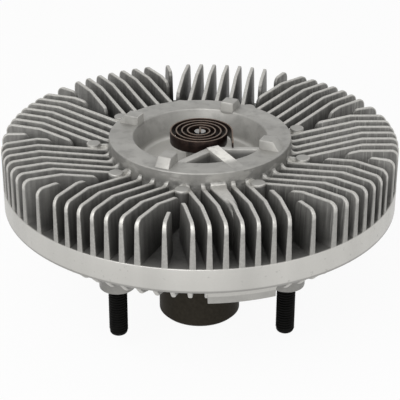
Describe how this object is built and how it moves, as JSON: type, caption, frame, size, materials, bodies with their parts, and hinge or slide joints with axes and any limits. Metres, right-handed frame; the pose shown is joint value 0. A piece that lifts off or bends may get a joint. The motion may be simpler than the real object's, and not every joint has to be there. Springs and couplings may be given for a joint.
{
  "type": "viscous fan clutch",
  "caption": "Viscous engine-fan clutch: finned die-cast cover with a bimetal coil valve, ribbed rear body with fan studs, and a threaded drive hub on a sealed ball bearing.",
  "frame": {"origin": "centre of the drive hub's free end face, on the clutch's axis", "axes": "+Z along the axis, from the drive hub towards the bimetal coil"},
  "size_m": [0.21, 0.21, 0.1114],
  "materials": {
    "cast_cover": "die-cast, bead-blasted grey, rim turned bright",
    "cast_body": "die-cast grey",
    "cast_rotor": "die-cast, machined lands",
    "dark_steel": "phosphated dark brown",
    "spring_steel": "blued spring steel",
    "bearing_steel": "ground and polished",
    "cage_brass": "satin",
    "seal_rubber": "matte black",
    "plate_steel": "satin",
    "shaft_steel": "bright ground",
    "bimetal": "heat-tinted brown strip",
    "black_steel": "black oxide"
  },
  "bodies": {
    "shaft": {"input_shaft": "dark_steel", "rotor": "cast_rotor", "rotor_snap_ring": "spring_steel", "bearing_inner_ring": "bearing_steel"},
    "housing": {"front_cover": "cast_cover", "rear_body": "cast_body", "fan_studs": "black_steel", "bearing_outer_ring": "bearing_steel", "bearing_front_seal": "seal_rubber", "bearing_rear_seal": "seal_rubber", "bearing_circlip": "spring_steel", "pump_plate": "plate_steel", "wiper_block": "plate_steel", "valve_stop_pin": "plate_steel", "valve_shaft_o_ring": "seal_rubber", "bimetal_coil": "bimetal", "cover_o_ring": "seal_rubber"},
    "ball_cage": {"bearing_balls": "bearing_steel", "bearing_cage": "cage_brass"},
    "valve": {"valve_shaft": "shaft_steel", "valve_arm": "plate_steel"}
  },
  "joints": [
    {"name": "housing_spin", "type": "hinge", "parent": "shaft", "child": "housing", "pos_m": [0, 0, 0.0475], "axis": [0, 0, 1], "continuous": true},
    {"name": "cage_spin", "type": "hinge", "parent": "shaft", "child": "ball_cage", "pos_m": [0, 0, 0.0475], "axis": [0, 0, 1], "continuous": true},
    {"name": "valve_turn", "type": "hinge", "parent": "housing", "child": "valve", "pos_m": [0, 0, 0.0945], "axis": [0, 0, 1], "range_deg": [0, 35], "stiffness_Nm_per_rad": 0.02, "deforming": ["bimetal_coil"]}
  ],
  "couplings": [
    {"joint": "cage_spin", "follows": "housing_spin", "ratio": 0.6031}
  ]
}
